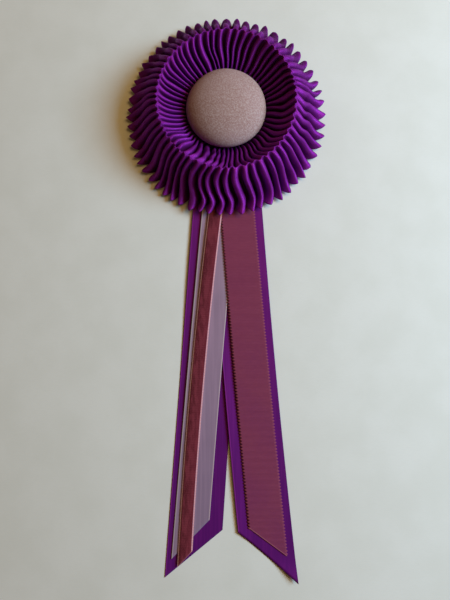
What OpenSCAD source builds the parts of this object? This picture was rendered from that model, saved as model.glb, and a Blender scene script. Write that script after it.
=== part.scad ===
// Ribbon rosette: a pleated two-sided frill round a padded cloth button, with five ribbon tails.
// It lies on its back. +Z is up, the tails run towards -Y, and the origin is on the surface
// that it lies on, under the middle of its whole outline. All sizes are in millimetres.

/* [Frill] */
// Number of pleats round the frill
pleats = 60; // [50:1:62]
// Radius of the zigzag rim where the two skirts meet
rim_r = 48.4; // [47:0.2:50]
// Height of the rim above the surface
rim_z = 32; // [30:0.5:33]
// Middle radius of the outer skirt's hem, which rests on the surface
hem_r = 72; // [71:0.2:74]
// How much longer the frill is along the tails than across them
oval = 1.035; // [1:0.005:1.05]
// Middle radius of the inner skirt's gathered base, which sits on the backing card
base_r = 26; // [25:0.5:28]
// Least thickness of the frill's wall
frill_wall = 1; // [1:0.1:1.2]
// How far the pleats are crowded towards the top of the frill, in degrees
crowding = 4.8; // [0:0.1:5]
// How far the pleats wander from an even pitch, in degrees
wander = 0.8; // [0:0.1:0.9]

/* [Button] */
// Diameter of the padded button at its edge
button_d = 58; // [52:0.5:59]
// Height of the button's edge above the surface
button_edge_z = 19.5; // [18:0.5:21]
// How far the button's crown rises above its edge
button_crown = 11; // [8:0.5:13]

/* [Back] */
// Diameter of the backing card
card_d = 72; // [70:1:74]
// Thickness of the backing card
card_t = 1.2; // [1:0.1:1.5]
// Height of the backing card's underside above the surface
card_z = 3.6; // [3.6:0.1:4]
// Length of the brooch pin's bar
pin_bar = 32; // [26:1:38]
// Width of the brooch pin's bar
pin_w = 5; // [4:0.5:6]
// Diameter of the brooch pin's wire
pin_wire = 1; // [0.8:0.1:1.2]

/* [Tails] */
// Width of the two satin tails
satin_w = 38; // [36:0.5:39]
// Width of the grosgrain and lilac ribbons
narrow_w = 24.5; // [23:0.5:25.5]
// Width of the velvet ribbon
velvet_w = 10; // [9:0.5:10]
// Thickness of each ribbon
tail_t = 1; // [1:0.05:1.1]
// Gap between two ribbons that lie on each other
tail_gap = 0.2; // [0.15:0.05:0.3]

/* [Hidden] */

SATIN = [0.36, 0.07, 0.53];
MAUVE = [0.6, 0.5, 0.5];
LILAC = [0.52, 0.43, 0.53];
ROSEWOOD = [0.46, 0.2, 0.29];
BURGUNDY = [0.37, 0.12, 0.16];
BOARD = [0.88, 0.86, 0.8];
STEEL = [0.75, 0.75, 0.77];

$fn = 96;

// Gap under a piece that sits on another, and the place of the rosette's centre
seat = 0.3;
head_y = 129;
card_top = card_z + card_t;

// The waves in which the pleats wander round the frill
TIMES = 0;   // waves in one turn
SHARE = 1;   // share of the wander
START = 2;   // where the wave starts, in degrees
WAVES = [[13, 1, 0], [22, 0.7, 50]];

// The frill's rings, from the gathered base over the rim to the hem
SIDE = 0;    // -1 on the inner skirt, 0 at the rim, 1 on the outer skirt
ALONG = 1;   // share of the way from the rim to the skirt's end
FRONT = 2;   // half the pleats' depth on the front of the cloth
BACK = 3;    // half the pleats' depth on the back of the cloth
PUFF = 4;    // share of the pitch that the outer skirt's ridge, or the inner skirt's furrow, takes
FURROW = 5;  // share of the pitch that the furrow beside it, or the inner skirt's ridge, takes
SWAY = 6;    // sideways shift of the pleats, in degrees
RINGS = [
    [-1, 1.00, 1.2, 0.4, 0.22, 0.50, 0.0],
    [-1, 0.62, 1.5, 0.7, 0.20, 0.52, -0.8],
    [-1, 0.25, 1.6, 1.0, 0.24, 0.46, 1.2],
    [0, 0.00, 1.3, 1.3, 0.30, 0.30, 2.0],
    [1, 0.28, 2.2, 1.7, 0.48, 0.20, 0.0],
    [1, 0.60, 2.9, 2.3, 0.52, 0.16, -2.0],
    [1, 0.86, 3.2, 2.7, 0.48, 0.16, -1.6],
    [1, 1.00, 3.2, 2.7, 0.14, 0.16, 0.0],
];

// Where round the frill the inner skirt sways most, in degrees, and the least share of the pitch
// that a ridge or furrow keeps once the wall is taken off it
inner_sway_start = 20;
least_share = 0.06;

// Each tail as it lies, measured from the rosette's centre
WIDTH = 0;      // width of the ribbon
X_TOP = 1;      // where its middle runs, sideways, at each of the three rows in TAIL_ROWS
X_MID = 2;
X_LOW = 3;
LONG_Y = 4;     // where its slanting cut ends on the longer edge
SHORT_Y = 5;    // where its slanting cut ends on the shorter edge
LONG_SIDE = 6;  // 1 where the right edge is the longer one, -1 where the left is
LAYERS = 7;     // how many ribbons lie under it at each step in STEP_Y
TAIL_LEFT = [satin_w, -5.9, -14.6, -23.3, -332, -300, -1, [0, 0, 0, 0, 0]];
TAIL_RIGHT = [satin_w, 8.0, 17.8, 28.8, -335, -301.5, 1, [1, 1, 1, 1, 0]];
LILAC_TAIL = [narrow_w, -5.8, -16.5, -26.4, -319.5, -293, -1, [2, 2, 2, 1, 1]];
GROSGRAIN_TAIL = [narrow_w, 8.5, 19.1, 30.8, -317.5, -298.5, 1, [3, 3, 3, 2, 1]];
VELVET_TAIL = [velvet_w, -8.0, -20.9, -29.0, -324.5, -313.5, -1, [4, 4, 3, 2, 2]];

// The rows that the middle of each tail is given at
TAIL_ROWS = [-75, -200, -325];
edge_steps = 5;

// Where the ribbons step down onto each other: start and end of the way down to each step.
// The first lies on the card, and the next ones follow the tails away from the rosette.
STEP_Y = [[-20, -36], [-64, -84], [-98, -186], [-206, -242], [-268, -340]];

// How far outside the gathered base the lowest ribbon starts, and how much further each next one does
head_gap = 4.2;
head_stagger = 1.35;
pitch_z = tail_t + tail_gap;

// The stack of ribbons that the hem is lifted over
stack_z = 4 * pitch_z + tail_t + tail_gap;
lift_full = 15;
lift_none = 38;

// A smooth step from 0 to 1
function ease(t) =
    let (c = min(1, max(0, t)))
    c * c * (3 - 2 * c);

function wave(row, even) = row[SHARE] * sin(row[TIMES] * even + row[START]);

// Angle of pleat k clockwise from the top, a whole or broken number of pleats from the first
function pleat_angle(k) =
    let (even = 360 * k / pleats)
    even + crowding * (1 - cos(even)) + wander * (wave(WAVES[0], even) + wave(WAVES[1], even));

// The outer skirt's depth runs along its own outward normal, and the inner skirt's away from the button
outer_turn = 90 - atan2(rim_z, hem_r - rim_r);
base_drop = rim_z - card_top;
inner_turn = -atan2(rim_r - base_r, base_drop);
hem_row = RINGS[len(RINGS) - 1];
hem_z = (hem_row[FRONT] + frill_wall) * sin(outer_turn);
base_z = card_top + seat - (RINGS[0][FRONT] + frill_wall) * sin(inner_turn);

function turn_of(row) = row[SIDE] > 0 ? outer_turn : row[SIDE] < 0 ? inner_turn : 0;

// Middle radius and height of a ring
function middle_of(row) =
    let (end = row[SIDE] < 0 ? [base_r, base_z] : [hem_r, hem_z])
    [rim_r, rim_z] + row[ALONG] * (end - [rim_r, rim_z]);

// How far the hem is lifted where the tails come out, at an angle clockwise from the top
function tail_lift(angle) = stack_z * ease((lift_none - abs(angle - 180)) / (lift_none - lift_full));

// How far the pleats sway sideways: the outer skirt's bow away from the tails
function sway_at(row, angle) =
    row[SWAY] * (row[SIDE] > 0 ? sin(angle) : cos(angle + inner_sway_start));

// One corner of a pleat: share is its place along the pitch, wave is 1 on a ridge and -1 in a furrow
function corner(row, pleat, share, wave, back) =
    let (
        angle = pleat_angle(pleat + share),
        turn = turn_of(row),
        side = row[SIDE],
        front_depth = wave * row[FRONT],
        back_depth = side == 0 ? wave * row[BACK]
            : (wave + side) * row[BACK] - side * (row[FRONT] + frill_wall),
        depth = back ? back_depth : front_depth,
        mitre = back && side == 0 ? frill_wall * sqrt(2) : 0,
        lift = side > 0 ? row[ALONG] * tail_lift(angle) : 0,
        place = middle_of(row) + depth * [cos(turn), sin(turn)] + [0, lift - mitre],
        heading = 90 - angle - sway_at(row, angle)
    )
    [place[0] * cos(heading), oval * place[0] * sin(heading), place[1]];

// The four corners of one pleat on one ring. On the back of the cloth the ridges are narrower by
// the wall, and the furrows wider, so that the steep sides keep their thickness too.
function pleat_corners(row, pleat, back) =
    let (
        pitch = 360 / pleats * PI / 180 * middle_of(row)[0],
        wall = back ? row[SIDE] * frill_wall / pitch : 0,
        puff = row[SIDE] > 0 ? max(least_share, row[PUFF] / 2 - wall) : row[PUFF] / 2 - wall / 3,
        furrow = row[SIDE] < 0 ? max(least_share, row[FURROW] / 2 + wall) : row[FURROW] / 2 + wall / 3
    )
    [
        corner(row, pleat, -puff, 1, back),
        corner(row, pleat, puff, 1, back),
        corner(row, pleat, 0.5 - furrow, -1, back),
        corner(row, pleat, 0.5 + furrow, -1, back),
    ];

function ring_corners(row, back) = [for (p = [0:pleats - 1]) each pleat_corners(row, p, back)];

// The two triangles between points a, b and c, d, which run clockwise seen from outside the cloth
function panel(a, b, c, d) = [[a, c, b], [b, c, d]];

module frill() {
    around = 4 * pleats;
    rings = len(RINGS);
    points = [
        for (row = RINGS) each ring_corners(row, false),
        for (row = RINGS) each ring_corners(row, true),
    ];
    back = rings * around;
    faces = [
        for (r = [0:rings - 2], i = [0:around - 1])
            let (a = r * around + i, b = r * around + (i + 1) % around)
            each concat(
                panel(a, b, a + around, b + around),
                panel(back + b, back + a, back + b + around, back + a + around)
            ),
        for (i = [0:around - 1])
            let (b = (i + 1) % around, hem = (rings - 1) * around)
            each concat(
                panel(b, i, back + b, back + i),
                panel(hem + i, hem + b, back + hem + i, back + hem + b)
            ),
    ];
    color(SATIN)
        translate([0, head_y, 0])
            polyhedron(points, faces, convexity = 12);
}

// The button's outline: a flat bottom on the card, flanks that follow the funnel of the inner
// skirt, a round edge and a low crown.
module button() {
    core_gap = 4;
    side_h = 5;
    side_lean = 0.8;
    crown_steps = 8;
    edge_r = button_d / 2;
    core_r = base_r - core_gap;
    shoulder = [edge_r - side_lean, button_edge_z - side_h];
    crown = [
        for (s = [0:crown_steps])
            let (a = 90 * s / crown_steps)
            [edge_r * cos(a), button_edge_z + button_crown * sin(a)]
    ];
    color(MAUVE)
        translate([0, head_y, 0])
            rotate_extrude()
                polygon(concat(
                    [[0, card_top + seat], [core_r, card_top + seat]],
                    [shoulder],
                    [for (point = crown) [max(0, point[0]), point[1]]]
                ));
}

module backing_card() {
    color(BOARD)
        translate([0, head_y, card_z])
            cylinder(d = card_d, h = card_t);
}

// A closed brooch pin in one piece: a bar under the card, a block at each end and the wire between
module brooch_pin() {
    pin_up = 12;
    bar_t = 0.6;
    block_l = 3.5;
    block_w = 3;
    block_z = 0.5;
    wire_z = 1.4;
    bar_z = card_z - seat - bar_t;
    color(STEEL)
        translate([0, head_y + pin_up, 0]) {
            translate([-pin_bar / 2, -pin_w / 2, bar_z])
                cube([pin_bar, pin_w, bar_t]);
            for (end = [-1, 1])
                translate([end * (pin_bar - block_l) / 2 - block_l / 2, -block_w / 2, block_z])
                    cube([block_l, block_w, bar_z - block_z + bar_t / 2]);
            translate([-pin_bar / 2 + block_l / 2, 0, wire_z])
                rotate([0, 90, 0])
                    cylinder(d = pin_wire, h = pin_bar - block_l);
        }
}

// Height of a ribbon's underside at each end of each step
function layer_path(layers) = [
    for (s = [0:len(STEP_Y) - 1], end = [0, 1])
        [STEP_Y[s][end], layers[s] * pitch_z + (s == 0 ? card_top + tail_gap : 0)]
];

// Where a tail's middle runs, sideways, at a distance y from the centre: the smooth curve
// through its three rows
function middle_x(tail, y) =
    let (
        a = TAIL_ROWS[0],
        b = TAIL_ROWS[1],
        c = TAIL_ROWS[2]
    )
    tail[X_TOP] * (y - b) * (y - c) / ((a - b) * (a - c))
    + tail[X_MID] * (y - a) * (y - c) / ((b - a) * (b - c))
    + tail[X_LOW] * (y - a) * (y - b) / ((c - a) * (c - b));

// One long edge of a tail from its head to its cut, side 1 on the right and -1 on the left
function tail_edge(tail, side, head) =
    let (
        slope = (tail[X_LOW] - tail[X_TOP]) / (TAIL_ROWS[2] - TAIL_ROWS[0]),
        half = tail[WIDTH] / 2 * sqrt(1 + slope * slope),
        end = side == tail[LONG_SIDE] ? tail[LONG_Y] : tail[SHORT_Y]
    )
    [
        for (s = [0:edge_steps])
            let (y = -head + s / edge_steps * (end + head))
            [middle_x(tail, y) + side * half, y]
    ];

// The ribbon seen from above: a square head, two gently curved edges and a slanting cut
module tail_outline(tail, head) {
    left = tail_edge(tail, -1, head);
    right = tail_edge(tail, 1, head);
    polygon(concat(left, [for (s = [edge_steps:-1:0]) right[s]]));
}

// A ribbon tail: its outline from above, cut from a sheet that steps down along the layers
module tail(tail, ribbon_color) {
    reach_x = 80;
    bottom_z = -1;
    reach_z = 30;
    path = layer_path(tail[LAYERS]);
    back_to_front = [for (p = [len(path) - 1:-1:0]) path[p] + [0, tail_t]];
    head = base_r + head_gap + head_stagger * tail[LAYERS][0];
    color(ribbon_color)
        translate([0, head_y, 0])
            intersection() {
                rotate([90, 0, 90])
                    translate([0, 0, -reach_x])
                        linear_extrude(2 * reach_x)
                            polygon(concat(path, back_to_front));
                translate([0, 0, bottom_z])
                    linear_extrude(reach_z)
                        tail_outline(tail, head);
            }
}

module tail_left() tail(TAIL_LEFT, SATIN);
module tail_right() tail(TAIL_RIGHT, SATIN);
module lilac_ribbon() tail(LILAC_TAIL, LILAC);
module grosgrain_ribbon() tail(GROSGRAIN_TAIL, ROSEWOOD);
module velvet_ribbon() tail(VELVET_TAIL, BURGUNDY);

backing_card();
brooch_pin();
tail_left();
tail_right();
lilac_ribbon();
grosgrain_ribbon();
velvet_ribbon();
frill();
button();
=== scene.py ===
"""The ribbon rosette's looks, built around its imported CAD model.

Sizes named in the tables are in millimetres, and the scene is in metres. The rosette lies on its
back: +Z is up, the tails run towards -Y, and its centre is at (0, HEAD_Y). Angles round the frill
are in degrees clockwise from the top, as a viewer sees them who looks down with the tails nearest.
"""

import math

import bpy
import numpy as np
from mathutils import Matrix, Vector


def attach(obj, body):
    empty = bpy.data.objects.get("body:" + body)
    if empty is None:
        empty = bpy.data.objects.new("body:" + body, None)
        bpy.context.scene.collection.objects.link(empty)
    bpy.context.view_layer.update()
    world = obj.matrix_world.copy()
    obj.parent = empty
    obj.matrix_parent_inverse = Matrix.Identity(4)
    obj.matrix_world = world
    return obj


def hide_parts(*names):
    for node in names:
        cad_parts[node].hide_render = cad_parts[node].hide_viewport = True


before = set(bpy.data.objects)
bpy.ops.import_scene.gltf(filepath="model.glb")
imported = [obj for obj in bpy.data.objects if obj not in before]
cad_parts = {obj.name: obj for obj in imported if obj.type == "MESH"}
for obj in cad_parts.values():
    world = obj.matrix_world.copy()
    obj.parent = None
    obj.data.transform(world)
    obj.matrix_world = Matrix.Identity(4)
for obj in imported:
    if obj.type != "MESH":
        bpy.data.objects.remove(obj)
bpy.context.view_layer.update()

MM = 0.001

# Sizes that the CAD source also has
HEAD_Y = 129.0
PLEATS = 60
OVAL = 1.035
CROWDING, WANDER = 4.8, 0.5
CARD_TOP = 4.8
TAIL_PITCH, HEAD_PITCH, TAIL_GAP = 0.62, 1.2, 0.2
HEAD_GAP, HEAD_STAGGER, CAD_BASE_R = 4.2, 1.35, 26.0


# Small tools


def hermite(at, values, slope, x):
    """The curve through the points (at, values) with that slope at each of them, read at x."""
    i = np.clip(np.searchsorted(at, x, side="right") - 1, 0, len(at) - 2)
    width = at[i + 1] - at[i]
    t = (x - at[i]) / width
    return (
        values[i] * (1 + 2 * t) * (1 - t) ** 2
        + slope[i] * width * t * (1 - t) ** 2
        + values[i + 1] * t * t * (3 - 2 * t)
        + slope[i + 1] * width * t * t * (t - 1)
    )


def curve(at, values, x):
    """A smooth curve through the points (at, values), level where they turn, read at x."""
    slope = np.gradient(values, at)
    step = np.diff(values) / np.diff(at)
    slope[1:-1][step[:-1] * step[1:] <= 0] = 0
    return hermite(at, values, slope, x)


def blend_stops(at, stops, s):
    """A smooth curve along the skirt through the values at its stops, for each point round it."""
    return hermite(at, stops, np.gradient(stops, at, axis=0), s)


def ease(t):
    """A smooth step from 0 to 1."""
    t = np.clip(t, 0, 1)
    return t * t * (3 - 2 * t)


def bell(angle, at, width):
    """1 at one angle, and less the further another is from it."""
    return np.exp(-(((angle - at) / width) ** 2))


def round_table(angles, columns, at, spread):
    """A table given at a few angles round the frill, read at other angles and smoothed over the
    spread to both sides."""
    around = np.concatenate([angles - 360, angles, angles + 360])
    out = []
    for column in columns.T:
        tripled = np.concatenate([column] * 3)
        shifts = np.linspace(-spread, spread, 5)
        out.append(np.mean([np.interp(at + shift, around, tripled) for shift in shifts], axis=0))
    return np.array(out)


def make_mesh(name, points, faces, uvs=None, smooth=True):
    """A mesh object from points in millimetres, with the cloth's own coordinates as its UV map."""
    mesh = bpy.data.meshes.new(name)
    faces = faces.tolist() if isinstance(faces, np.ndarray) else faces
    mesh.from_pydata((np.asarray(points) * MM).tolist(), [], faces)
    if uvs is not None:
        index = np.empty(len(mesh.loops), dtype=np.int32)
        mesh.loops.foreach_get("vertex_index", index)
        set_cloth(mesh, uvs[index])
    mesh.polygons.foreach_set("use_smooth", [smooth] * len(mesh.polygons))
    mesh.update()
    obj = bpy.data.objects.new(name, mesh)
    bpy.context.scene.collection.objects.link(obj)
    return obj


def set_cloth(mesh, corners):
    """Gives each corner of the mesh its place on the flat cloth, in millimetres."""
    layer = mesh.uv_layers.new(name="cloth")
    layer.uv.foreach_set("vector", corners.astype(np.float32).ravel())


def set_values(mesh, name, values):
    """Gives each point of the mesh a value that its material reads."""
    layer = mesh.attributes.new(name, "FLOAT", "POINT")
    layer.data.foreach_set("value", values.astype(np.float32).ravel())


def grid_faces(rows, columns, closed=False):
    """Quads of a grid of points, row by row. closed joins the last column to the first."""
    r = np.arange(rows - 1)[:, None]
    c = np.arange(columns if closed else columns - 1)[None, :]
    n = (c + 1) % columns
    corners = [r * columns + c, r * columns + n, (r + 1) * columns + n, (r + 1) * columns + c]
    return np.stack(corners, axis=-1).reshape(-1, 4)


def thicken(obj, thickness):
    """Gives a sheet its thickness, as real geometry on the side that doesn't show."""
    solid = obj.modifiers.new("thickness", "SOLIDIFY")
    solid.thickness = thickness * MM
    solid.offset = -1.0
    solid.use_even_offset = False


def scaled(tone, share):
    """The tone, made darker or lighter by a share."""
    return tuple(part * share for part in tone)


# Materials


class Shade:
    """A material and short calls for its nodes."""

    def __init__(self, name, **surface):
        self.material = bpy.data.materials.new(name)
        self.material.use_nodes = True
        self.tree = self.material.node_tree
        self.surface = self.tree.nodes["Principled BSDF"]
        self.set(**surface)

    def set(self, **surface):
        """Sets the surface's own sockets, each by its name."""
        for key, value in surface.items():
            name = key.replace("_", " ")
            socket = next(s for s in self.surface.inputs if s.name.lower() == name)
            self.feed(socket, value)

    def feed(self, socket, value):
        """Sets a socket to a value, or links it where the value is another node's output."""
        if isinstance(value, bpy.types.NodeSocket):
            self.tree.links.new(value, socket)
        elif socket.type == "RGBA":
            socket.default_value = (*value, 1.0)
        else:
            socket.default_value = value

    def node(self, kind, inputs=(), out=0, **facts):
        """Adds a node of that kind, and gives its output with the number out."""
        made = self.tree.nodes.new("ShaderNode" + kind)
        for key, value in facts.items():
            setattr(made, key, value)
        for key, value in dict(inputs).items():
            self.feed(made.inputs[key], value)
        return made.outputs[out]

    def math(self, operation, a, b=0.0, c=0.0):
        return self.node("Math", {0: a, 1: b, 2: c}, operation=operation)

    def part(self, value, share):
        """The value, weakened to a share of it."""
        return self.math("MULTIPLY", value, share)

    def mix(self, share, a, b):
        """The tone a, and a share of b over it."""
        return self.node("Mix", {0: share, 6: a, 7: b}, out=2, data_type="RGBA")

    def ramp(self, value, low, high):
        """A smooth step from 0 where the value is low to 1 where it is high."""
        return self.node("MapRange", {0: value, 1: low, 2: high}, interpolation_type="SMOOTHSTEP")

    def cloth(self):
        """The cloth's own coordinates in millimetres: across the ribbon and along it."""
        split = self.tree.nodes.new("ShaderNodeSeparateXYZ")
        self.feed(split.inputs[0], self.node("UVMap", uv_map="cloth"))
        return split.outputs[0], split.outputs[1]

    def place(self):
        """The place on the object, in millimetres."""
        where = self.node("TexCoord", out=3)
        return self.node("VectorMath", {0: where, 3: 1 / MM}, operation="SCALE")

    def values(self, name):
        """The values that set_values has given the mesh."""
        return self.node("Attribute", out=2, attribute_name=name)

    def noise(self, vector, scale, detail=2.0, rough=0.5):
        inputs = {"Vector": vector, "Scale": scale, "Detail": detail, "Roughness": rough}
        return self.node("TexNoise", inputs)

    def streaks(self, stretch, scale):
        """Noise on the place, each direction scaled by its own number."""
        stretched = self.node("Mapping", {"Vector": self.place(), "Scale": stretch})
        return self.noise(stretched, scale, detail=3.0)

    def threads(self, value, pitch):
        """A smooth ripple from 0 to 1 with that pitch."""
        turn = self.math("MULTIPLY", value, 2 * math.pi / pitch)
        return self.math("MULTIPLY_ADD", self.math("SINE", turn), 0.5, 0.5)

    def bump(self, height, distance, strength, under=None):
        inputs = {"Strength": strength, "Distance": distance * MM, "Height": height}
        if under is not None:
            inputs["Normal"] = under
        return self.node("Bump", inputs)


def satin(name, base, dark, painted_shade_tone, tint):
    """Close satin weave: a broad soft gloss in the cloth's own colour, fine slanting threads, and
    painted shade: a dark tone where the mesh's painted-shade values are high."""
    s = Shade(name, metallic=0.62, roughness=0.46, specular_ior_level=0.2, specular_tint=tint)
    across, along = s.cloth()
    thread = s.threads(s.math("MULTIPLY_ADD", across, 0.8, along), pitch=0.75)
    slub = s.noise(s.place(), 0.055)
    fine = s.noise(s.place(), 1.1, detail=1.0)
    tone = s.mix(s.ramp(slub, 0.35, 0.68), dark, base)
    tone = s.mix(s.part(thread, 0.42), tone, scaled(base, 0.5))
    # painted shade on the frill's furrows, hollows and shaded sides
    tone = s.mix(s.part(s.values("painted_shade"), 0.68), tone, painted_shade_tone)
    low = s.bump(fine, distance=0.09, strength=0.5)
    s.set(base_color=tone, normal=s.bump(thread, distance=0.1, strength=0.9, under=low))
    return s.material


def linen(name):
    """The button's matt linen-like cloth: two crossing sets of uneven threads."""
    dull, warm, pale = (0.41, 0.25, 0.24), (0.465, 0.30, 0.305), (0.60, 0.46, 0.46)
    twill_tone, gap_tone = (0.26, 0.14, 0.135), (0.12, 0.06, 0.06)
    s = Shade(name, roughness=0.85, specular_ior_level=0.2)
    across, along = s.cloth()
    wobble = s.noise(s.place(), 0.35)
    weft = s.threads(s.math("MULTIPLY_ADD", wobble, 0.5, across), pitch=0.62)
    warp = s.threads(s.math("MULTIPLY_ADD", wobble, -0.5, along), pitch=0.66)
    weave = s.math("MULTIPLY", weft, warp)
    slub = s.noise(s.place(), 1.0, detail=3.0, rough=0.65)
    slant = s.math("MULTIPLY_ADD", s.noise(s.place(), 0.2), 3.0, s.math("ADD", across, along))
    twill = s.threads(slant, pitch=2.05)
    patch = s.noise(s.place(), 0.045)
    tone = s.mix(s.ramp(patch, 0.35, 0.65), dull, warm)
    tone = s.mix(s.ramp(slub, 0.40, 0.64), tone, pale)
    tone = s.mix(s.part(twill, 0.10), tone, twill_tone)
    tone = s.mix(s.part(weave, 0.55), s.mix(0.35, tone, gap_tone), tone)
    lowest = s.bump(twill, distance=0.05, strength=0.5)
    low = s.bump(slub, distance=0.17, strength=0.8, under=lowest)
    s.set(base_color=tone, normal=s.bump(weave, distance=0.09, strength=0.7, under=low))
    return s.material


def paper():
    """The pale paper under the rosette: soft clouds, short fibres and a fine grain."""
    cool, warm, fibre_tone = (0.70, 0.712, 0.70), (0.735, 0.748, 0.745), (0.64, 0.645, 0.63)
    s = Shade("pale_paper", roughness=0.9, specular_ior_level=0.2)
    cloud = s.noise(s.place(), 0.03, detail=3.0)
    grain = s.noise(s.place(), 1.6, detail=3.0, rough=0.6)
    fibre = s.streaks((0.35, 1.4, 1.0), 0.8)
    tone = s.mix(s.ramp(cloud, 0.3, 0.7), cool, warm)
    tone = s.mix(s.part(s.ramp(fibre, 0.4, 0.75), 0.12), tone, fibre_tone)
    low = s.bump(fibre, distance=0.12, strength=0.2)
    s.set(base_color=tone, normal=s.bump(grain, distance=0.06, strength=0.25, under=low))
    return s.material


def board():
    """The card's plain board, with pale flecks."""
    s = Shade("plain_board", roughness=0.85, specular_ior_level=0.25)
    fleck = s.noise(s.place(), 1.2, detail=3.0, rough=0.65)
    tone = s.mix(s.ramp(fleck, 0.4, 0.65), (0.66, 0.63, 0.56), (0.78, 0.75, 0.68))
    s.set(base_color=tone, normal=s.bump(fleck, distance=0.05, strength=0.3))
    return s.material


def steel():
    """The pin's steel, with fine scratches."""
    s = Shade("pin_steel", metallic=1.0, roughness=0.32)
    scratch = s.streaks((0.05, 1.5, 1.5), 2.0)
    tone = s.mix(s.ramp(scratch, 0.35, 0.7), (0.50, 0.50, 0.52), (0.66, 0.66, 0.68))
    s.set(base_color=tone, normal=s.bump(scratch, distance=0.01, strength=0.3))
    return s.material


# The frill
AROUND = 20  # points in each pleat
FRILL_WALL = 0.3
SLANT_OUT, SLANT_IN = 43.0, 38.0  # the cloth's way from the rim to the hem, and to the base
FRILL_SEED = 11

# The outer skirt at a few shares of the way from the rim to the hem: distance from the axis and
# height of its ridges and of its furrows, how pointed the ridges are, how steep their sides, and
# how much wider they are than the furrows. It bends over at the rim and flares at the hem.
KEYS = ("ridge_r", "ridge_z", "furrow_r", "furrow_z", "point", "square", "puff")
OUTER_STEPS = np.array([0.0, 0.06, 0.14, 0.26, 0.42, 0.58, 0.74, 0.88, 1.0])
OUTER = dict(
    ridge_r=[48.9, 50.8, 53.4, 56.8, 60.4, 63.8, 67.8, 71.6, 74.9],
    ridge_z=[32.0, 31.0, 28.8, 24.8, 19.2, 13.6, 8.6, 5.4, 3.6],
    furrow_r=[47.9, 48.6, 49.8, 51.6, 54.4, 57.6, 61.2, 64.4, 67.0],
    furrow_z=[32.0, 30.0, 27.0, 22.2, 15.8, 9.8, 5.0, 2.0, 0.5],
    point=[0.00, 0.10, 0.25, 0.35, 0.35, 0.30, 0.25, 0.45, 1.00],
    square=[0.10, 0.30, 0.50, 0.62, 0.62, 0.60, 0.56, 0.45, 0.25],
    puff=[0.00, 0.12, 0.28, 0.34, 0.32, 0.32, 0.38, 0.42, 0.42],
)
# The inner skirt, from the rim to its gathered base: its ridges point at the button.
INNER_STEPS = np.array([0.0, 0.06, 0.14, 0.30, 0.50, 0.75, 1.0, 1.19])
INNER = dict(
    ridge_r=[47.9, 46.6, 44.8, 41.0, 36.2, 30.6, 25.4, 22.0],
    ridge_z=[32.0, 31.0, 29.2, 25.4, 20.8, 15.6, 9.4, 6.4],
    furrow_r=[48.9, 48.5, 47.4, 44.6, 40.4, 34.2, 27.8, 23.6],
    furrow_z=[32.0, 30.4, 27.8, 22.8, 17.8, 12.4, 7.0, 5.6],
    point=[0.00, 0.15, 0.40, 0.50, 0.50, 0.45, 0.35, 0.20],
    square=[0.10, 0.35, 0.65, 0.80, 0.80, 0.76, 0.60, 0.40],
    puff=[0.00, 0.08, 0.18, 0.26, 0.28, 0.28, 0.26, 0.20],
)
# The rows of points, at these shares of the way.
OUTER_ROWS = [0.012, 0.03, 0.055, 0.09, 0.13, 0.175, 0.225, 0.28, 0.335, 0.39, 0.445, 0.50, 0.555,
              0.61, 0.66, 0.71, 0.76, 0.81, 0.86, 0.905, 0.945, 0.975, 1.0]
INNER_ROWS = [0.015, 0.04, 0.075, 0.12, 0.18, 0.25, 0.33, 0.42, 0.51, 0.60, 0.70, 0.80, 0.90,
              1.0, 1.1, 1.19]

# How the pleats lie round the frill, in degrees clockwise from their place at the hem, where they
# stand at the angles of the first list: at the rim, and at three places down the outer skirt. The
# lists were read from the photo, and are smoothed over their spread to both sides.
OUTER_SPREAD, INNER_SPREAD = 4.0, 2.0
OUTER_SWAY_STEPS = np.array([0.0, 0.22, 0.47, 0.73, 1.0])
OUTER_SWAY_AT = np.array([
    0, 15, 30, 45, 60, 67, 74, 80, 88, 95, 100, 106, 113, 125, 131, 139, 145, 151, 158, 164, 170,
    178, 185, 195, 206, 216, 229, 240, 249, 260, 270, 280, 292, 304, 330,
])
OUTER_SWAY = np.array([
    (0.0, 0.0, 0.0, 0.0), (2.2, 2.2, 1.2, 0.8), (4.2, 4.2, 2.4, 1.5), (5.2, 5.2, 2.8, 1.8),
    (5.2, 5.2, 2.4, 1.6), (4.6, 4.5, 2.0, 1.2), (2.0, 3.3, 2.2, 1.8), (1.0, 2.9, 0.4, 0.2),
    (-1.2, 2.8, -0.5, -1.7), (-2.1, 2.1, -0.9, -1.3), (-0.8, 2.2, -0.8, 0.4), (-0.1, 1.9, -0.2, 0.1),
    (1.0, 2.7, 0.4, 0.2), (-1.0, -2.3, -1.9, -1.2), (-0.1, -1.6, -1.3, -1.2), (-1.2, -2.0, -2.4, -1.9),
    (0.0, -0.9, -1.6, -1.0), (-1.7, -3.1, -3.3, -3.0), (-1.0, -0.3, -2.1, -2.7), (-0.8, 0.5, -1.2, -2.8),
    (2.0, 3.8, 0.9, -1.7), (-0.2, 3.0, 2.3, -1.2), (-1.0, 4.1, 1.5, -2.4), (0.0, 3.2, 2.9, -0.6),
    (0.9, 4.0, 4.1, 2.0), (1.2, 3.2, 3.0, 1.4), (0.0, 0.4, -0.6, -1.5), (0.0, 0.6, 0.4, -0.6),
    (-0.1, 0.4, 1.1, 0.6), (-1.0, 0.3, 0.6, 0.1), (-1.0, 0.6, 0.8, 1.7), (-2.6, -0.9, 0.7, 1.5),
    (-3.0, -1.6, 0.4, 2.4), (-3.8, -2.7, -0.3, 2.2), (-2.0, -1.5, -0.3, 1.0),
])
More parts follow.
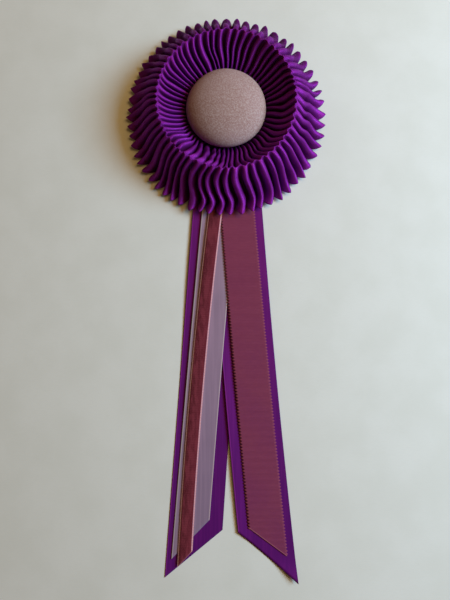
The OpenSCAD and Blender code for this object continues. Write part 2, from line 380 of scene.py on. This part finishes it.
# And the inner skirt's, from their place at the rim: at four places on the way to the base.
INNER_SWAY_STEPS = np.array([0.0, 0.17, 0.37, 0.60, 0.80])
INNER_SWAY_AT = np.array([
    0, 5, 12, 19, 31, 43, 55, 69, 78, 84, 90, 95, 108, 122, 134, 140, 148, 155, 162, 171, 178, 185,
    197, 202, 206, 212, 217, 221, 234, 241, 251, 262, 273, 284, 290, 294, 308, 320, 325, 335, 340,
    346, 352,
])
INNER_SWAY = np.array([
    (-2.8, -2.8, -1.6, -1.6), (-2.0, -3.8, -2.7, -2.6), (-1.7, -3.4, -3.2, -3.7), (-2.1, -4.0, -3.7, -4.1),
    (-2.5, -2.9, -3.2, -5.2), (-1.8, -3.1, -3.0, -5.5), (-2.2, -3.0, -4.3, -6.2), (-3.5, -4.4, -5.1, -7.1),
    (-1.9, -1.7, -2.1, -3.8), (-1.5, -0.9, -1.4, -3.5), (1.3, 3.1, -1.0, -4.3), (2.9, 4.7, 1.0, -2.3),
    (2.9, 3.6, 2.0, -1.2), (2.9, 4.2, 0.8, -2.9), (4.2, 6.4, 2.5, -0.1), (3.8, 5.7, 2.8, 0.8),
    (3.4, 4.3, 1.6, -0.5), (3.5, 3.7, 0.8, -1.0), (3.1, 2.7, 0.0, -1.5), (0.8, -0.3, -2.2, -4.2),
    (0.0, -1.6, -2.8, -3.7), (-3.2, -3.4, -4.3, -3.0), (-4.3, -3.9, -4.9, -1.8), (-3.9, -2.6, -4.2, 0.0),
    (-3.9, -3.3, -1.9, 2.4), (-3.0, -2.7, -0.4, 4.1), (-2.2, -1.4, 1.1, 5.4), (2.2, 2.3, 1.3, 5.3),
    (2.6, 2.6, 1.9, 5.1), (-0.9, -0.9, 0.1, 3.9), (-0.9, -0.8, 0.4, 3.0), (-2.5, -3.1, -1.4, 1.0),
    (-2.5, -2.7, -1.0, 1.5), (-2.1, -2.4, -0.7, 1.7), (-2.9, -2.4, -0.8, 1.5), (-2.5, -1.3, 0.7, 2.9),
    (-3.0, -3.7, -2.6, -0.6), (-3.0, -3.4, -2.8, -0.8), (-2.8, -3.5, -2.2, -0.2), (-2.7, -3.1, -1.2, 0.2),
    (-2.3, -2.4, 0.1, 1.3), (-1.5, -2.0, 0.5, 1.9), (-1.2, -2.6, 0.1, 1.3),
])

# The hem rides up over the tails: wholly up to the first angle from the bottom, and not at all
# from the second on. At the top, in the same way, it stands off the paper, and its furrows reach
# further out and up.
HEM_LIFT, LIFT_FULL, LIFT_NONE = 5.2, 12.0, 30.0
TOP_FULL, TOP_NONE = 35.0, 85.0
TOP_RISE, TOP_FURROW_REACH, TOP_FURROW_RISE = 1.6, 3.0, 1.0
# Round some angles the leaves are rounder, the notches between their tips deeper, and the hem cut
# shorter. The outer pleats lean towards the top on both sides, in shares of a pleat.
BELLY, BELLY_AT, BELLY_FADE = 0.5, 45.0, 1.5
NOTCH, NOTCH_AT, NOTCH_WIDTH = 2.2, 84.0, 36.0
TRIM, TRIM_AT, TRIM_WIDTH = 1.2, 143.0, 24.0
LEAN, LEAN_OVER = 0.055, 0.2
# In the same way the inner ridges are wider round one angle, and the inner pleats stay deep up to
# the rim round another: from the rim on over a share of the way, and fading before its end.
FAT, FAT_AT, FAT_OVER = 0.3, 150.0, 0.3
DEEP, DEEP_AT, DEEP_WIDTH, DEEP_RISE = 1.2, 210.0, 32.0, 0.4
DEEP_OVER, DEEP_END, DEEP_FADE = 0.12, 0.75, 0.4
# How much the pleats differ by chance, and at most how many times as much: in the height of their
# ridges, the reach of their leaf tips, the turns of their folds, and the extra width of the ridges.
DIFFER = dict(
    crest=(0.07, 1.6), reach=(0.45, 1.6), drift=(0.35, 1.8), ripple=(0.35, 1.8),
    inner_drift=(0.45, 1.8), squeeze=(0.10, 1.6),
)

# Painted shade on the frill's cloth: how dark it is set. It keeps its own tone at the rim, and the painted
# shade comes in over a share of the way.
RIM_SHARE = 0.125
# Painted shade in the furrows, and more so in deep ones and beside the deep notches.
SHADE_START, SHADE_WAVE, SHADE_DEEP, NOTCH_SHADE = 0.4, 0.62, 0.22, 0.9
# Painted shade in the hollows of the leaf tips at the top, up to their edge.
CUP_SHADE, CUP_FROM, CUP_OVER, CUP_END, CUP_EDGE = 0.85, 0.42, 0.2, 0.985, 0.06
# Painted shade on the outer skirt's left and the inner skirt's upper right, and painted light that makes
# the inner one's bottom lighter.
LEFT_SHADE = 0.34
FAR_SHADE, FAR_AT = 0.38, 38.0
LOW_PAINTED_LIGHT, LOW_AT, LOW_WIDTH = 0.34, 166.0, 26.0


def pleat_angle(k):
    """Angle of pleat k, a whole or broken number, clockwise from the top, at the hem."""
    even = 360 * k / PLEATS
    e = np.radians(even)
    wander = np.sin(13 * e) + 0.7 * np.sin(22 * e + math.radians(50))
    return even + CROWDING * (1 - np.cos(e)) + WANDER * wander


def tail_lift(angle):
    """How far the hem is lifted over the tails."""
    away = np.abs(angle % 360 - 180)
    return HEM_LIFT * ease((LIFT_NONE - away) / (LIFT_NONE - LIFT_FULL))


def top_share(angle):
    """1 at the top of the rosette, where the hem stands off the paper, and 0 lower down."""
    away = np.abs((angle + 180) % 360 - 180)
    return ease((TOP_NONE - away) / (TOP_NONE - TOP_FULL))


def painted_side_light(angle, outer):
    """How much painted shade the satin gets on that side of the rosette; below 0 it is painted light."""
    a = np.radians(angle)
    if outer:
        return LEFT_SHADE * np.clip(-np.sin(a), 0, 1)
    far = FAR_SHADE * np.clip(np.cos(a - math.radians(FAR_AT)), 0, 1)
    return far - LOW_PAINTED_LIGHT * bell(angle, LOW_AT, LOW_WIDTH)


def arch_wave(v, point, belly):
    """A wave with its crest at 0, round where point is 0 and a pointed arch where it is 1.
    The more belly, the rounder the arch beside its point."""
    q = np.abs(2 * v)
    arch = 1 - (1.25 - belly) * q - (0.75 + belly) * q**2
    return (1 - point) * np.cos(math.pi * q) + point * arch


def by_pleat(values, k):
    """A value that differs from pleat to pleat, read anywhere round the frill."""
    i = np.floor(k).astype(int)
    t = ease(k - i)
    return values[i % PLEATS] * (1 - t) + values[(i + 1) % PLEATS] * t


def cross_section(outer, s, v, place, differ):
    """The pleats' cross-section at a share s of the way down a skirt: the place of each point in
    the count of the pleats, its part in the wave, its distance from the axis and its height."""
    steps, table = (OUTER_STEPS, OUTER) if outer else (INNER_STEPS, INNER)
    ridge_r, ridge_z, furrow_r, furrow_z, point, square, puff = (
        curve(steps, np.array(table[key]), s) for key in KEYS
    )
    around = pleat_angle(place)
    fat = puff * (1 + by_pleat(differ["squeeze"], place))
    # the phase runs from the middle of this skirt's own ridge: the two skirts' ridges take turns
    if outer:
        phase = (v + 0.5) % 1 - 0.5
        belly = BELLY * (0.5 + 0.5 * np.cos(np.radians(around - BELLY_AT))) ** BELLY_FADE
        lean = LEAN * np.sin(np.radians(around)) * ease(s / LEAN_OVER)
    else:
        phase = v % 1 - 0.5
        belly = lean = 0.0
        fat = fat + FAT * np.cos(np.radians(around - FAT_AT)).clip(0) * ease(s / FAT_OVER)
    turn = 2 * math.pi * phase
    wave = arch_wave(phase, point, belly)
    steeper = square / (4 * math.pi) * np.sin(2 * turn)
    wider = fat / (2 * math.pi) * np.sin(turn)
    k = place + steeper + wider - lean * np.cos(turn)
    lift = np.where(wave > 0, wave * by_pleat(1 + differ["crest"], k), wave)
    r = (ridge_r + furrow_r) / 2 + lift * (ridge_r - furrow_r) / 2
    z = (ridge_z + furrow_z) / 2 + lift * (ridge_z - furrow_z) / 2
    return k, wave, r, z


def bend_outer(s, k, wave, r, z, differ):
    """The outer skirt's points as they lie on their side of the rosette: distance from the axis,
    height, the turn round the frill in degrees, and how much painted shade their furrows get."""
    angle = pleat_angle(k)
    top, right = top_share(angle), bell(angle, NOTCH_AT, NOTCH_WIDTH)
    furrow_part = (1 - np.clip(wave, -1, 1)) / 2
    r = r + top * s * TOP_FURROW_REACH * furrow_part
    r = r - NOTCH * s**4 * furrow_part * right
    r = r + by_pleat(differ["reach"], k) * s**3 * np.clip(wave, 0, None)
    r = r - TRIM * s**2 * bell(angle, TRIM_AT, TRIM_WIDTH)
    z = z + top * s * (TOP_RISE + TOP_FURROW_RISE * furrow_part)
    z = z + s * tail_lift(angle)
    rim, *lower = round_table(OUTER_SWAY_AT, OUTER_SWAY, angle, OUTER_SPREAD)
    sway = blend_stops(OUTER_SWAY_STEPS, np.stack([rim, *lower, 0 * rim]), s)
    sway = sway + by_pleat(differ["drift"], k) * math.sin(math.pi * s)
    sway = sway + by_pleat(differ["ripple"], k) * math.sin(2 * math.pi * s)
    # the last value is painted shade for the furrows beside the deep notches
    return r, z, sway, NOTCH_SHADE * right


def bend_inner(s, k, wave, r, z, differ):
    """The same for the inner skirt's points."""
    angle = pleat_angle(k)
    height = np.clip(wave, -1, 1)
    reach = ease(s / DEEP_OVER) * ease((DEEP_END - s) / DEEP_FADE)
    deep = DEEP * bell(angle, DEEP_AT, DEEP_WIDTH) * reach
    r = r - deep * height
    z = z + DEEP_RISE * deep * height
    rim = round_table(OUTER_SWAY_AT, OUTER_SWAY[:, :1], angle, OUTER_SPREAD)[0]
    lower = round_table(INNER_SWAY_AT, INNER_SWAY, angle + rim, INNER_SPREAD)
    last = min(s, INNER_SWAY_STEPS[-1])
    sway = rim + blend_stops(INNER_SWAY_STEPS, np.stack([0 * rim, *lower]), last)
    sway = sway + by_pleat(differ["inner_drift"], k) * math.sin(math.pi * min(s, 1.0))
    return r, z, sway, deep


def painted_shade_share(outer, s, angle, wave, deep):
    """How much painted shade the cloth gets, from 0 to 1."""
    off_rim = min(1.0, s / RIM_SHARE)
    # painted shade in the furrows, more in deep ones
    painted_shade = ease(SHADE_START + SHADE_DEEP * deep - SHADE_WAVE * wave) * off_rim
    if outer:
        # painted shade inside the hollows of the leaf tips at the top, up to their lighter edge
        hollow = ease((s - CUP_FROM) / CUP_OVER) * ease((CUP_END - s) / CUP_EDGE)
        painted_shade = np.maximum(painted_shade, CUP_SHADE * top_share(angle) * hollow)
    # painted shade and painted light by the side of the rosette
    return np.clip(painted_shade + painted_side_light(angle, outer) * off_rim, 0, 1)


def frill_rows():
    """The frill's rows of points from the gathered base over the rim to the hem, how far along
    its width the cloth is at each row, and how much painted shade it gets at each point."""
    chance = np.random.RandomState(FRILL_SEED)
    differ = {
        name: size * chance.randn(PLEATS).clip(-most, most) for name, (size, most) in DIFFER.items()
    }
    step = np.tile(np.arange(AROUND) / AROUND, PLEATS)
    v = np.where(step < 0.5, step, step - 1)
    place = np.repeat(np.arange(PLEATS), AROUND) + (v < 0) + v
    inner_plan = [(False, s) for s in reversed(INNER_ROWS)]
    outer_plan = [(True, s) for s in [0.0] + OUTER_ROWS]
    rows, run, painted_shades = [], [], []
    for outer, s in inner_plan + outer_plan:
        k, wave, r, z = cross_section(outer, s, v, place, differ)
        bend = bend_outer if outer else bend_inner
        r, z, sway, deep = bend(s, k, wave, r, z, differ)
        angle = pleat_angle(k)
        heading = np.radians(90 - angle - sway)
        x, y = r * np.cos(heading), HEAD_Y + OVAL * r * np.sin(heading)
        rows.append(np.stack([x, y, z], axis=1))
        run.append(SLANT_IN + SLANT_OUT * s if outer else SLANT_IN * (1 - s))
        painted_shades.append(painted_shade_share(outer, s, angle, wave, deep))
    return np.array(rows), np.array(run), np.array(painted_shades)


def make_frill(material):
    """The frill as one sheet from its base over the rim to the hem, and its cloth's flat size."""
    rows, run, painted_shades = frill_rows()
    count = rows.shape[1]
    obj = make_mesh("frill_satin", rows.reshape(-1, 3), grid_faces(len(rows), count, closed=True))
    # one more column than points round, so that the cloth's coordinates don't jump back
    rows = np.concatenate([rows, rows[:, :1]], axis=1)
    widths = np.linalg.norm(np.diff(rows, axis=1), axis=2)
    heights = np.linalg.norm(np.diff(rows, axis=0), axis=2)
    length = np.concatenate([[0], np.cumsum(widths.mean(axis=0))])
    uv = np.stack(np.meshgrid(length, run), axis=2)
    set_cloth(obj.data, np.stack([uv[:-1, :-1], uv[:-1, 1:], uv[1:, 1:], uv[1:, :-1]], axis=2))
    # the painted shade values that the satin reads
    set_values(obj.data, "painted_shade", painted_shades)
    obj.data.materials.append(material)
    thicken(obj, FRILL_WALL)
    slant = heights.sum(axis=0).mean()
    strips = (widths[1:] + widths[:-1]) / 2 * heights[:, :-1]
    return obj, (slant * MM, strips.sum() / slant * MM)


# The button
BUTTON_R, BUTTON_EDGE_Z, BUTTON_CROWN, BUTTON_FLATNESS = 29.0, 16.6, 13.9, 1.08
BUTTON_AROUND, DOME_RINGS = 128, 26
# Distance from the axis and height, from the round edge in under the button.
BUTTON_UNDER = [
    (28.9, 15.7), (28.6, 14.7), (28.0, 13.3), (27.1, 11.6), (25.8, 9.6), (23.9, 7.5), (21.4, 5.5),
]
# It isn't quite round: it swells so many times round, each by a chance amount in this range.
SWELL_TIMES, SWELL_LEAST, SWELL_MOST = (2, 3, 5), 0.03, 0.1
BUTTON_SEED = 5


def make_button(material):
    """The padded button: a low dome of stretched cloth, tucked in under a round edge."""
    profile = []
    for a in np.radians(np.linspace(90, 0, DOME_RINGS)):
        rise = BUTTON_CROWN * math.sin(a) ** BUTTON_FLATNESS
        profile.append((BUTTON_R * math.cos(a), BUTTON_EDGE_Z + rise))
    profile += BUTTON_UNDER
    points = [(0.0, HEAD_Y, profile[0][1])]
    chance = np.random.RandomState(BUTTON_SEED)
    waves = []
    for times in SWELL_TIMES:
        start = chance.uniform(0, 2 * math.pi)
        waves.append((times, start, chance.uniform(SWELL_LEAST, SWELL_MOST)))
    for r, z in profile[1:]:
        for i in range(BUTTON_AROUND):
            a = 2 * math.pi * i / BUTTON_AROUND
            swell = sum(size * math.sin(times * a + start) for times, start, size in waves)
            out = r + swell * min(1.0, r / BUTTON_R)
            points.append((out * math.sin(a), HEAD_Y + out * math.cos(a), z))
    n = BUTTON_AROUND
    rings = [[1 + ring * n + i for i in range(n)] for ring in range(len(profile) - 1)]
    faces = [(0, rings[0][(i + 1) % n], rings[0][i]) for i in range(n)]
    for upper, lower in zip(rings, rings[1:]):
        faces += [(upper[i], upper[(i + 1) % n], lower[(i + 1) % n], lower[i]) for i in range(n)]
    faces.append(tuple(rings[-1]))
    points = np.array(points)
    obj = make_mesh("button_cloth", points, faces, points[:, :2] - (0, HEAD_Y))
    obj.data.polygons[len(faces) - 1].use_smooth = False
    obj.data.materials.append(material)
    return obj


# The ribbons

# Places along the ribbons are counted from the frill's centre. Each middle line has its three
# values of x at TAIL_ROWS, left and right are where its two edges end, and layers says how many
# ribbons lie under it below each of the steps.
TAIL_ROWS = (-75.0, -200.0, -325.0)
STEP_Y = ((-20, -36), (-64, -84), (-98, -186), (-206, -242), (-268, -340))
SATIN_WIDTH, RIBBON_WIDTH, VELVET_WIDTH = 38.0, 24.5, 10.0
TAILS = dict(
    tail_left=dict(
        width=SATIN_WIDTH, x=(-5.9, -14.6, -23.3), left=-332.0, right=-300.0, layers=(0, 0, 0, 0, 0)
    ),
    tail_right=dict(
        width=SATIN_WIDTH, x=(8.0, 17.8, 29.8), left=-301.5, right=-335.0, layers=(1, 1, 1, 1, 0)
    ),
    lilac_ribbon=dict(
        width=RIBBON_WIDTH, x=(-5.8, -16.5, -26.4), left=-319.5, right=-293.0, layers=(2, 2, 2, 1, 1)
    ),
    grosgrain_ribbon=dict(
        width=RIBBON_WIDTH, x=(8.5, 19.1, 30.8), left=-298.5, right=-317.5, layers=(3, 3, 3, 2, 1)
    ),
    velvet_ribbon=dict(
        width=VELVET_WIDTH, x=(-8.0, -20.9, -29.0), left=-324.5, right=-313.5, layers=(4, 4, 3, 2, 2)
    ),
)
LOOP_PITCH, LOOP_DEPTH = 2.18, 0.8  # the grosgrain's looped edges
SATIN_WALL, LILAC_WALL, RIBBED_WALL, VELVET_WALL = 0.35, 0.3, 0.4, 0.4
EDGE_PACKING = 1.35  # how much closer a ribbon's points stand at its edges
# How far the ribbons stand off the paper: all of them below the frill, the right tail at its tip
# and along its left edge, and the velvet's pile between its woven edges.
HANG, HANG_FROM, HANG_OVER, HANG_END, HANG_FADE = 1.3, -34.0, 16.0, -200.0, 100.0
TIP, TIP_FROM, TIP_OVER, TIP_CURL = 3.2, -316.0, 22.0, 1.2
EDGE, EDGE_X, EDGE_SIDE, EDGE_FROM, EDGE_OVER = 0.9, -10.5, 9.0, -150.0, 60.0
PILE, PILE_HALF, PILE_SIDE = 0.45, 4.35, 0.5
TONE_FROM, TONE_TO = 70, 300  # along this stretch a ribbon's tone turns from head_tone to tip_tone


def middle_x(tail, y):
    """The ribbon's middle line: a parabola through its three values of x."""
    a, b, c = TAIL_ROWS
    x = tail["x"]
    return (
        x[0] * (y - b) * (y - c) / ((a - b) * (a - c))
        + x[1] * (y - a) * (y - c) / ((b - a) * (b - c))
        + x[2] * (y - a) * (y - b) / ((c - a) * (c - b))
    )


def layer_z(tail, y):
    """Height of a ribbon's underside at a distance y from the centre."""
    last = tail["layers"][0] * HEAD_PITCH + CARD_TOP + TAIL_GAP
    z = np.full_like(y, last)
    for (start, end), layer in zip(STEP_Y, tail["layers"]):
        level = layer * TAIL_PITCH
        z = z + (level - last) * np.clip((start - y) / (start - end), 0, 1)
        last = level
    return z


def hang(y):
    """How far the ribbons stand off the paper where they come out from under the frill."""
    return HANG * ease((y - HANG_END) / HANG_FADE) * ease((HANG_FROM - y) / HANG_OVER)


def tip_lift(x, y):
    """The right tail's long tip curls up off the paper, with the grosgrain on it."""
    return TIP * ease((TIP_FROM - y) / TIP_OVER) ** TIP_CURL + 0 * x


def lift_right(x, y):
    """The right tail also has its left edge turned up a little."""
    edge = EDGE * ease((EDGE_X - x) / EDGE_SIDE) * ease((EDGE_FROM - y) / EDGE_OVER)
    return tip_lift(x, y) + edge


def pile_lift(x, y):
    """The velvet's pile stands above its woven edges."""
    return PILE * ease((PILE_HALF - np.abs(x)) / PILE_SIDE) + 0 * y


def make_tail(name, tail, material, wall, rows=120, columns=24, shape=None, loops=None):
    """A ribbon tail as a thin sheet that lies along its layers, and the flat ribbon's width,
    length and area. shape lifts its surface, and loops runs out along its two edges."""
    head = CAD_BASE_R + HEAD_GAP + HEAD_STAGGER * tail["layers"][0]
    width = tail["width"]
    slope = (tail["x"][2] - tail["x"][0]) / (TAIL_ROWS[2] - TAIL_ROWS[0])
    longer = math.hypot(1, slope)
    across = np.linspace(-1, 1, columns + 1)
    across = np.sign(across) * (1 - (1 - np.abs(across)) ** EDGE_PACKING)
    down = np.linspace(0, 1, rows + 1)[:, None]
    end = tail["left"] + (tail["right"] - tail["left"]) * (across + 1) / 2
    y = -head + down * (end + head)
    x = middle_x(tail, y) + across * (width / 2 * longer)
    run = -y * longer
    if loops is not None:
        pitch, depth = loops
        bead = depth * np.sin(np.pi * run[:, [0, -1]] / pitch) ** 2
        x[:, [0, -1]] += bead * np.array([-1.0, 1.0])
    z = layer_z(tail, y) + hang(y) + wall
    if shape is not None:
        z = z + shape(across * width / 2, y)
    points = np.stack([x, y + HEAD_Y, z], axis=2).reshape(-1, 3)
    uvs = np.stack([(across + 1) / 2 * width + 0 * y, run], axis=2).reshape(-1, 2)
    obj = make_mesh(name, points, grid_faces(rows + 1, columns + 1)[:, ::-1], uvs)
    lengths = run[-1] - run[0]
    set_values(obj.data, "cut", (1 - down) * lengths)
    obj.data.materials.append(material)
    thicken(obj, wall)
    left, right = lengths[[0, -1]]
    return obj, (width * MM, max(left, right) * MM, width * (left + right) / 2 * MM * MM)


def ribbon_satin(name, head_tone, tip_tone, edge_tones_and_painted_light, width, tint, gloss):
    """Flat satin ribbon: fine lengthwise threads, and a woven edge on each side whose tone is partly its
    own and partly painted light and shade.
    """
    s = Shade(name, metallic=0.15, roughness=gloss, specular_ior_level=0.2, specular_tint=tint)
    across, along = s.cloth()
    thread = s.threads(across, pitch=0.42)
    weft = s.threads(along, pitch=0.35)
    streak = s.streaks((1.0, 0.03, 1.0), 0.55)
    cloud = s.noise(s.place(), 0.03)
    left, right = edge_tones_and_painted_light
    tone = s.mix(s.ramp(along, TONE_FROM, TONE_TO), head_tone, tip_tone)
    tone = s.mix(s.part(s.ramp(cloud, 0.3, 0.7), 0.35), tone, scaled(tip_tone, 0.72))
    tone = s.mix(s.part(s.ramp(streak, 0.4, 0.7), 0.22), tone, scaled(head_tone, 1.5))
    # each edge's own tone; on the purple ribbon, painted light on the left edge and painted shade on the
    # right
    tone = s.mix(s.ramp(across, 1.05, 0.7), tone, left)
    tone = s.mix(s.ramp(across, width - 0.85, width - 0.5), tone, right)
    low = s.bump(thread, distance=0.03, strength=0.35)
    s.set(base_color=tone, normal=s.bump(weft, distance=0.02, strength=0.25, under=low))
    return s.material


def grosgrain_cloth(width):
    """Ribbed ribbon: crosswise ribs, small woven loops along both edges with painted shade in the gaps
    between them, a pale melted cut.
    """
    head_tone, tip_tone = (0.243, 0.041, 0.103), (0.232, 0.0375, 0.122)
    warm, pale = (0.27, 0.049, 0.105), (0.34, 0.075, 0.14)
    band_tone, groove_tone, cut_tone = (0.10, 0.014, 0.045), (0.10, 0.012, 0.035), (0.60, 0.22, 0.28)
    s = Shade("rosewood_grosgrain", roughness=0.7, specular_ior_level=0.2)
    across, along = s.cloth()
    rib = s.threads(along, pitch=0.8)
    warp = s.threads(across, pitch=0.5)
    loop = s.threads(s.math("SUBTRACT", along, LOOP_PITCH / 4), LOOP_PITCH)
    cloud = s.noise(s.place(), 0.035)
    streak = s.streaks((0.25, 1.0, 1.0), 0.9)
    tone = s.mix(s.ramp(along, TONE_FROM, TONE_TO), head_tone, tip_tone)
    tone = s.mix(s.part(s.ramp(cloud, 0.3, 0.7), 0.5), tone, warm)
    tone = s.mix(s.part(s.ramp(streak, 0.35, 0.7), 0.18), tone, pale)
    tone = s.mix(s.part(loop, 0.06), tone, band_tone)
    groove = s.math("POWER", s.math("SUBTRACT", 1.0, rib), 3.0)
    tone = s.mix(s.part(groove, 0.6), tone, groove_tone)
    # painted shade in the gaps between the edge loops, weaker on the right edge, with the loops' tips pale
    right = s.part(s.ramp(across, width - 1.4, width - 0.5), 0.32)
    edge = s.math("MAXIMUM", s.ramp(across, 1.4, 0.5), right)
    bead = s.mix(s.ramp(loop, 0.3, 0.75), (0.05, 0.004, 0.017), (0.33, 0.075, 0.125))
    tone = s.mix(s.part(edge, 0.8), tone, bead)
    tone = s.mix(s.part(s.ramp(s.values("cut"), 1.2, 0.4), 0.35), tone, cut_tone)
    low = s.bump(warp, distance=0.02, strength=0.3)
    s.set(base_color=tone, normal=s.bump(rib, distance=0.22, strength=0.8, under=low))
    return s.material


def velvet_cloth(width):
    """Velvet ribbon: short rough pile, darker on one side, between two thin woven edges."""
    dark, light, brushed_tone = (0.080, 0.0100, 0.016), (0.145, 0.0200, 0.036), (0.23, 0.038, 0.062)
    pile_tone, row_tone, cut_tone = (0.24, 0.045, 0.068), (0.03, 0.003, 0.006), (0.45, 0.17, 0.2)
    s = Shade("burgundy_velvet", roughness=0.95, specular_ior_level=0.1, sheen_weight=1.0,
              sheen_roughness=0.35, sheen_tint=(0.75, 0.28, 0.34))
    across, along = s.cloth()
    pile = s.noise(s.place(), 1.5, detail=3.0, rough=0.7)
    brushed = s.streaks((1.0, 0.22, 1.0), 0.4)
    row = s.threads(along, pitch=1.6)
    tone = s.mix(s.ramp(across, 1.0, 8.5), dark, light)
    tone = s.mix(s.part(s.ramp(brushed, 0.42, 0.62), 0.6), tone, brushed_tone)
    tone = s.mix(s.part(s.ramp(pile, 0.4, 0.7), 0.5), tone, pile_tone)
    tone = s.mix(s.part(row, 0.15), tone, row_tone)
    thread = s.threads(along, pitch=1.1)
    pink = s.mix(thread, (0.56, 0.26, 0.32), (0.78, 0.45, 0.52))
    brown = s.mix(thread, (0.25, 0.10, 0.09), (0.42, 0.2, 0.19))
    tone = s.mix(s.ramp(across, width - 0.95, width - 0.75), tone, pink)
    tone = s.mix(s.ramp(across, 0.95, 0.75), tone, brown)
    tone = s.mix(s.part(s.ramp(s.values("cut"), 0.9, 0.3), 0.5), tone, cut_tone)
    s.set(base_color=tone, normal=s.bump(pile, distance=0.3, strength=0.8))
    return s.material


# Making the pieces
# the darkest tone here is painted shade for the frill's furrows and shaded sides
frill_satin = satin("purple_satin", base=(0.29, 0.023, 0.38), dark=(0.235, 0.017, 0.31),
                    painted_shade_tone=(0.036, 0.002, 0.010), tint=(0.62, 0.36, 0.7))
frill, frill_cut = make_frill(frill_satin)
button = make_button(linen("mauve_linen"))

tail_satin = ribbon_satin(
    "purple_ribbon", head_tone=(0.150, 0.0118, 0.168), tip_tone=(0.110, 0.0095, 0.166),
    # left edge set lighter as painted light, right edge darker as painted shade
    edge_tones_and_painted_light=((0.25, 0.028, 0.32), (0.085, 0.006, 0.11)),
    width=SATIN_WIDTH, tint=(0.5, 0.2, 0.6), gloss=0.5,
)
lilac_satin = ribbon_satin(
    "lilac_ribbon_satin", head_tone=(0.335, 0.225, 0.33), tip_tone=(0.28, 0.195, 0.31),
    edge_tones_and_painted_light=((0.46, 0.37, 0.44), (0.44, 0.33, 0.38)),
    width=RIBBON_WIDTH, tint=(0.7, 0.6, 0.75), gloss=0.55,
)
tail_left, cut_left = make_tail("satin_tail_left", TAILS["tail_left"], tail_satin, SATIN_WALL)
tail_right, cut_right = make_tail(
    "satin_tail_right", TAILS["tail_right"], tail_satin, SATIN_WALL, shape=lift_right,
)
lilac, cut_lilac = make_tail("lilac_satin_ribbon", TAILS["lilac_ribbon"], lilac_satin, LILAC_WALL)
grosgrain, cut_grosgrain = make_tail(
    "grosgrain_sheet", TAILS["grosgrain_ribbon"], grosgrain_cloth(RIBBON_WIDTH), RIBBED_WALL,
    rows=1180, columns=12, shape=tip_lift, loops=(LOOP_PITCH, LOOP_DEPTH),
)
velvet, cut_velvet = make_tail(
    "velvet_sheet", TAILS["velvet_ribbon"], velvet_cloth(VELVET_WIDTH), VELVET_WALL,
    columns=40, shape=pile_lift,
)

# Card and pin
for node, look in (("backing_card", board()), ("brooch_pin", steel())):
    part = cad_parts[node]
    part.data.materials.clear()
    part.data.materials.append(look)

# Each piece hangs from the root body, and its CAD part is hidden
for piece, node, slot in (
    (frill, "frill", "purple_satin"),
    (button, "button", "button_cloth"),
    (tail_left, "tail_left", "purple_satin"),
    (tail_right, "tail_right", "purple_satin"),
    (lilac, "lilac_ribbon", "lilac_satin"),
    (grosgrain, "grosgrain_ribbon", "grosgrain"),
    (velvet, "velvet_ribbon", "velvet"),
):
    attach(piece, "root")
    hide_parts(node)

# Floor, light and camera
FLOOR_HALF, FLOOR_Z = 900.0, -0.00005
floor_corners = np.array([(-1, -1, 0), (1, -1, 0), (1, 1, 0), (-1, 1, 0)]) * FLOOR_HALF
floor = make_mesh("paper_floor", floor_corners, [(0, 1, 2, 3)], smooth=False)
floor.location.z = FLOOR_Z
floor.data.materials.append(paper())

WORLD_TONE, WORLD_STRENGTH = (1.0, 0.60, 0.22, 1.0), 0.115
LAMP_TARGET = np.array([0.0, 0.05, 0.0])
world = bpy.data.worlds.new("soft_room")
bpy.context.scene.world = world
world.use_nodes = True
world.node_tree.nodes["Background"].inputs["Color"].default_value = WORLD_TONE
world.node_tree.nodes["Background"].inputs["Strength"].default_value = WORLD_STRENGTH


def lamp(name, azimuth, elevation, distance, size, power, colour):
    """A square soft light that looks at the rosette. The azimuth is clockwise from the top."""
    data = bpy.data.lights.new(name, "AREA")
    data.shape = "SQUARE"
    data.size = size
    data.energy = power
    data.color = colour
    obj = bpy.data.objects.new(name, data)
    bpy.context.scene.collection.objects.link(obj)
    a, e = math.radians(azimuth), math.radians(elevation)
    to = np.array([math.sin(a) * math.cos(e), math.cos(a) * math.cos(e), math.sin(e)])
    obj.location = LAMP_TARGET + to * distance
    obj.rotation_mode = "QUATERNION"
    obj.rotation_quaternion = Vector(-to).to_track_quat("-Z", "Y")


lamp(
    "window_light", azimuth=84, elevation=36, distance=1.05, size=0.44, power=13.4,
    colour=(0.60, 0.83, 1.0),
)
lamp(
    "room_light", azimuth=62, elevation=58, distance=1.3, size=0.6, power=5.4,
    colour=(1.0, 0.62, 0.22),
)

camera_data = bpy.data.cameras.new("photo_camera")
camera_data.lens = 27.0
camera_data.sensor_width = 36.0
camera_data.clip_start = 0.01
camera = bpy.data.objects.new("photo_camera", camera_data)
bpy.context.scene.collection.objects.link(camera)
camera.location = (-0.0008, -0.0378, 0.3291)
camera.rotation_euler = (math.radians(5.0), 0.0, 0.0)
bpy.context.scene.camera = camera
bpy.context.scene.view_settings.view_transform = "Standard"
